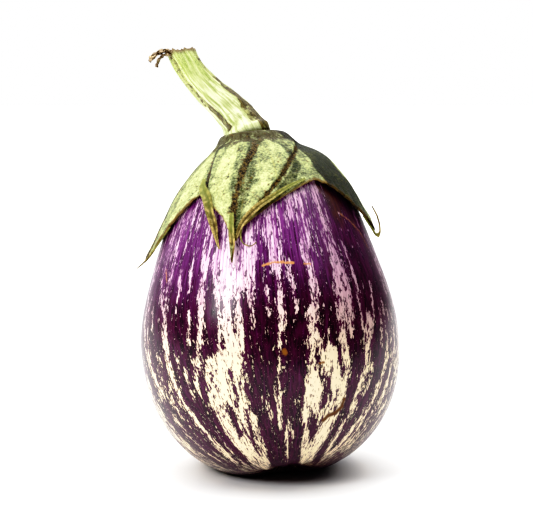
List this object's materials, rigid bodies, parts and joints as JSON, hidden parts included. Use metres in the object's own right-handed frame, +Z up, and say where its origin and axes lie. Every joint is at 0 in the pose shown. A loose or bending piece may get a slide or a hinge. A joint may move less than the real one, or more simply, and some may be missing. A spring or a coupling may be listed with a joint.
{
  "type": "eggplant",
  "caption": "Egg-shaped striped purple and cream eggplant standing on its blossom end, with a green pointed calyx and a bent, cut stem.",
  "frame": {"origin": "middle of the small flat spot under the fruit, on the surface it stands on", "axes": "+Z up, the longest extent; -Y is the front, where the blossom scar and the longest visible sepal are; +X to the right seen from the front; the stem leans to -X and +Y"},
  "size_m": [0.0782, 0.0786, 0.1266],
  "materials": {
    "skin": "smooth glossy vegetable skin, dark purple and cream streaks along the meridians",
    "calyx": "fine-haired green leaf tissue with dry brown edges",
    "stem": "satin pale green stalk with brown bark patches"
  },
  "bodies": {
    "root": {"fruit": "skin", "calyx": "calyx", "stem": "stem"}
  },
  "joints": []
}
